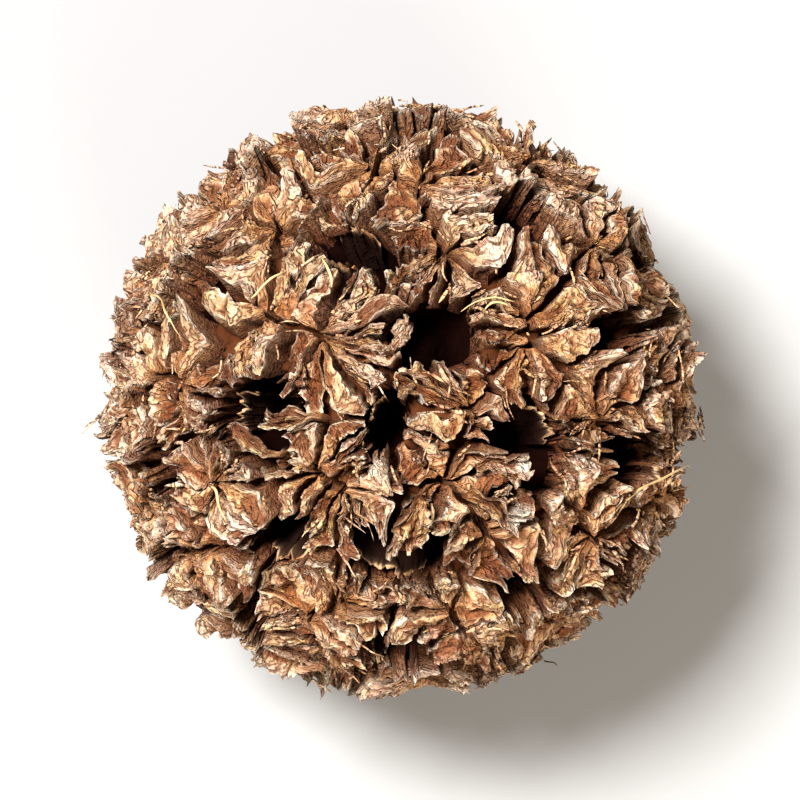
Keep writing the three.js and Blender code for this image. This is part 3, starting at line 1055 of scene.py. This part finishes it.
def cork_material():
    """The scales: dry corky wood, reddish at the root and in the cracks, with painted shade in the
    cracks, grooves and pits and a painted highlight on the ridges and rims.
    """
    m = Nodes("seed_ball_cork")
    share, deep, raised = m.parts(m.read("facts"))
    grain = m.read("grain")
    own = m.parts(grain)[2]
    streaks = m.noise(1.0, 4.0, 0.65, grain, (6.0, 0.9, 40.0))
    fine = m.noise(1.0, 3.0, 0.7, grain, (20.0, 3.2, 40.0))
    wrinkle = m.noise(1.0, 2.5, 0.55, grain, (5.0, 1.3, 40.0))
    blotch = m.noise(420.0, 4.0, 0.6)
    wide = m.noise(95.0, 2.0, 0.5)
    tinge = m.noise(1300.0, 2.0, 0.5)
    speck = m.noise(3600.0, 2.0, 0.5)

    # The scales' own tones, with warm, pink, olive, dark and pale patches, and painted shade that
    # makes them warmer and darker towards the right
    hue = m.math("ADD", m.math("MULTIPLY", own, 0.55), m.math("MULTIPLY", blotch, 0.45))
    colour = m.ramp(hue, CORK_TONES)
    # Painted shade, warmer and darker towards the right
    right_side_shade = m.math("MULTIPLY", m.parts(m.place())[0], 55.0)
    warm_patches_and_side_shade = m.math("ADD", m.math("MULTIPLY", m.math("SUBTRACT", wide, 0.45), 3.5), right_side_shade, clamp=True)
    colour = m.tint(colour, warm_patches_and_side_shade, 0.45, WARM_TINT)
    colour = m.tint(colour, m.beyond(tinge, 0.52, 7.0), 0.8, PINK_TINT)
    colour = m.tint(colour, m.beyond(tinge, 0.46, -7.0), 0.8, OLIVE_TINT)
    colour = m.paint(colour, m.beyond(streaks, 0.52, -6.0), 0.5, STREAK)
    colour = m.paint(colour, m.beyond(fine, 0.56, 5.0), 0.6, PALE)

    # Ridges and rims get a painted highlight, and wrinkles and grooves get painted shade
    colour = m.paint(colour, m.beyond(raised, -0.03, 5.0), 0.5, PAINTED_RIDGE_HIGHLIGHT)
    # The wrinkles' creases are lowered in the bumps and get painted shade
    crease = m.math("ABSOLUTE", m.math("SUBTRACT", wrinkle, 0.5))
    crease = m.beyond(crease, 1 / 15, -15.0)
    colour = m.paint(colour, crease, 0.8, PAINTED_GROOVE_SHADE)
    colour = m.paint(colour, m.beyond(raised, -0.06, -6.5), 0.92, PAINTED_GROOVE_SHADE)

    # Reddish towards the root, with painted shade in the pits, lower down and on the sides, and
    # redder lower down as well
    rooty = m.math("POWER", m.math("SUBTRACT", 1.0, share, clamp=True), 3.4)
    colour = m.paint(colour, rooty, 0.75, ROOT)
    colour = m.paint(colour, m.beyond(speck, 0.43, -9.0), 0.75, PAINTED_GROOVE_SHADE)
    ends = {0: m.place(), 1: (0, 0, FOOT_RADIUS * MM)}
    far = m.add("ShaderNodeVectorMath", ends, operation="DISTANCE").outputs["Value"]
    sunk = m.beyond(far, SUNK_RADIUS * MM, -1 / (SUNK_REACH * MM))
    colour = m.tint(colour, sunk, 0.8, SUNK_RED_AND_SHADE)
    colour = m.paint(colour, m.math("POWER", deep, 0.3), 1.05, PAINTED_SIDE_SHADE)
    # White torn ends, and the painted highlight on the edges
    white_ends_and_edge_highlight = m.math("MULTIPLY", streaks, 1.7, clamp=True)
    white_ends_and_edge_highlight = m.math("MULTIPLY", m.read("pale", "Fac"), white_ends_and_edge_highlight)
    colour = m.blend(white_ends_and_edge_highlight, colour, WHITE_ENDS_AND_EDGE_HIGHLIGHT)

    height = m.math("ADD", streaks, m.math("MULTIPLY", fine, 0.6))
    height = m.math("SUBTRACT", height, m.math("MULTIPLY", crease, 0.5))
    height = m.math("ADD", height, m.math("MULTIPLY", speck, 0.7))
    roughness = m.math("ADD", 0.76, m.math("MULTIPLY", blotch, 0.22))
    return m.finish(colour, roughness, height, 0.5, 1.0, 0.15)


def lining_material():
    """Inside the capsules and under the scales: dark reddish brown, with painted shade that makes it
    almost black deep down.
    """
    m = Nodes("seed_ball_lining")
    mottle = m.noise(700.0, 4.0, 0.6)
    deep = m.math("MULTIPLY", m.parts(m.read("facts"))[0], 14.0, clamp=True)
    colour = m.blend(deep, m.ramp(mottle, LINING_TONES), PAINTED_MOUTH_SHADE)
    return m.finish(colour, 0.95, mottle, 0.2, 1.0, 0.0)


def valve_material():
    """The valves: woody brown at their broken edges, with painted shade that makes them almost black
    below.
    """
    m = Nodes("seed_ball_valve")
    mottle = m.noise(900.0, 4.0, 0.6)
    high = m.math("POWER", m.parts(m.read("facts"))[0], 9.0)
    colour = m.blend(high, PAINTED_VALVE_SHADE, m.ramp(mottle, VALVE_TONES))
    return m.finish(colour, 0.9, mottle, 0.3, 1.0, 0.03)


def fibre_material():
    m = Nodes("seed_ball_fibre")
    mottle = m.noise(800.0, 3.0, 0.6)
    return m.finish(m.ramp(mottle, FIBRE_TONES), 0.55, mottle, 0.03, 0.6)


def floor_material():
    m = Nodes("pale_floor")
    return m.finish(m.ramp(m.noise(6.0, 2.0), FLOOR_TONES), 0.85, m.noise(900.0), 0.02, 0.3)


# The objects

def bent(points):
    """Points moved a little aside, all that is near the same way."""
    for wavelength, reach in BENDS:
        at = points / wavelength + 50
        aside = np.stack([value_noise(at + 17 * k) for k in range(3)], axis=-1) - 0.5
        radial = unit(points)
        aside = aside - radial * (aside * radial).sum(axis=-1, keepdims=True)
        points = points + 2 * reach * aside
    return points


def pale_at(points, facts):
    """How pale a point is: on edges with a painted highlight, and near the few torn ends that are
    almost white.
    """
    pale = np.zeros(len(points))
    for x, y, reach, strength in PALE_SPOTS:
        off = np.hypot(points[:, 0] - x, points[:, 1] - y)
        pale = np.maximum(pale, strength * np.clip(1.4 * (1 - off / reach), 0, 1))
    pale[(points[:, 2] < FOOT_RADIUS) | (facts[:, ALONG] < 0.6)] = 0
    return np.maximum(pale, EDGE_HIGHLIGHT_STRENGTH * facts[:, EDGE_HIGHLIGHT_COLUMN])


def put_in(name, data):
    thing = bpy.data.objects.new(name, data)
    bpy.context.scene.collection.objects.link(thing)
    return thing


def to_object(name, shape, material, smooth_under=None):
    """A piece, stood on the floor, whose faces are smooth, apart from edges over an angle."""
    points = bent(np.concatenate(shape.points))
    facts = np.concatenate(shape.facts)
    points[:, 2] += FOOT_RADIUS
    points[:, 2] = np.maximum(points[:, 2], 0)
    mesh = bpy.data.meshes.new(name)
    mesh.from_pydata((points * MM).tolist(), [], shape.faces, shade_flat=False)
    for attribute, columns in (("facts", (ALONG, DEEP, RAISED)),
                               ("grain", (GRAIN_ACROSS, GRAIN_ALONG, TONE))):
        layer = mesh.attributes.new(attribute, "FLOAT_VECTOR", "POINT")
        layer.data.foreach_set("vector", facts[:, columns].astype(np.float32).ravel())
    pale = mesh.attributes.new("pale", "FLOAT", "POINT")
    pale.data.foreach_set("value", pale_at(points, facts).astype(np.float32))
    if smooth_under is not None:
        mesh.set_sharp_from_angle(angle=math.radians(smooth_under))
    piece = put_in(name, mesh)
    mesh.materials.append(material)
    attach(piece, "root")
    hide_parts("seed_ball")


def build():
    mouths = all_mouths()
    junctions = all_junctions(mouths)
    rng = np.random.default_rng(SEED)
    scales = []
    for index, mouth in enumerate(mouths):
        scales.extend(scales_round(mouth, index, junctions))
    cork = cork_material()
    for k in range(PIECES):
        shape = Shape()
        for scale in scales[k::PIECES]:
            slivers_of(scale, rng, shape)
        to_object(f"scales_{k}", shape, cork, SCALE_ANGLE)
    shape = Shape()
    splinters(scales, rng, shape)
    shards(scales, rng, shape)
    to_object("splinters", shape, cork)
    shape = Shape()
    flakes(scales, rng, shape)
    long_ends(rng, shape)
    to_object("flakes", shape, cork, SCALE_ANGLE)
    shape = Shape()
    capsules_core(mouths, shape)
    to_object("capsules", shape, lining_material())
    shape = Shape()
    for mouth in mouths:
        if mouth.stalk:
            stalk = Shape()
            stalk_end(mouth, rng, stalk)
            to_object("stalk_end", stalk, cork)
        else:
            valves_of(mouth, rng, shape)
    to_object("valves", shape, valve_material(), VALVE_ANGLE)
    shape = Shape()
    fibres(rng, shape)
    to_object("fibres", shape, fibre_material())


def floor():
    mesh = bpy.data.meshes.new("floor")
    half = FLOOR_SIZE / 2
    corners = [(-half, -half, 0), (half, -half, 0), (half, half, 0), (-half, half, 0)]
    mesh.from_pydata(corners, [], [(0, 1, 2, 3)])
    mesh.materials.append(floor_material())
    put_in("floor", mesh)


def area_light(name, place, size, power, colour):
    """A square light that faces the ball's middle."""
    light = bpy.data.lights.new(name, "AREA")
    light.size = size
    light.energy = power
    light.color = colour
    lamp = put_in(name, light)
    lamp.location = place
    towards = Vector((0, 0, FOOT_RADIUS * MM)) - Vector(place)
    lamp.rotation_euler = towards.to_track_quat("-Z", "Y").to_euler()


def lights():
    area_light("key", **KEY)
    area_light("fill", **FILL)
    world = bpy.data.worlds.new("studio")
    world.use_nodes = True
    background = world.node_tree.nodes["Background"]
    background.inputs["Color"].default_value = WORLD_COLOUR
    background.inputs["Strength"].default_value = WORLD_STRENGTH
    bpy.context.scene.world = world


def camera():
    """Straight above, as the photograph was taken, with the ball filling most of the frame."""
    lens = bpy.data.cameras.new("camera")
    lens.lens = LENS
    lens.clip_start = 0.01
    lens.clip_end = 10
    eye = put_in("camera", lens)
    shown = 2 * (HEAD_RADIUS + PAST_HEAD) * MM / FRAME_SHARE
    eye.location = (0, 0, FOOT_RADIUS * MM + shown * LENS / lens.sensor_width)
    bpy.context.scene.camera = eye
    bpy.context.scene.view_settings.view_transform = "Standard"


build()
floor()
lights()
camera()
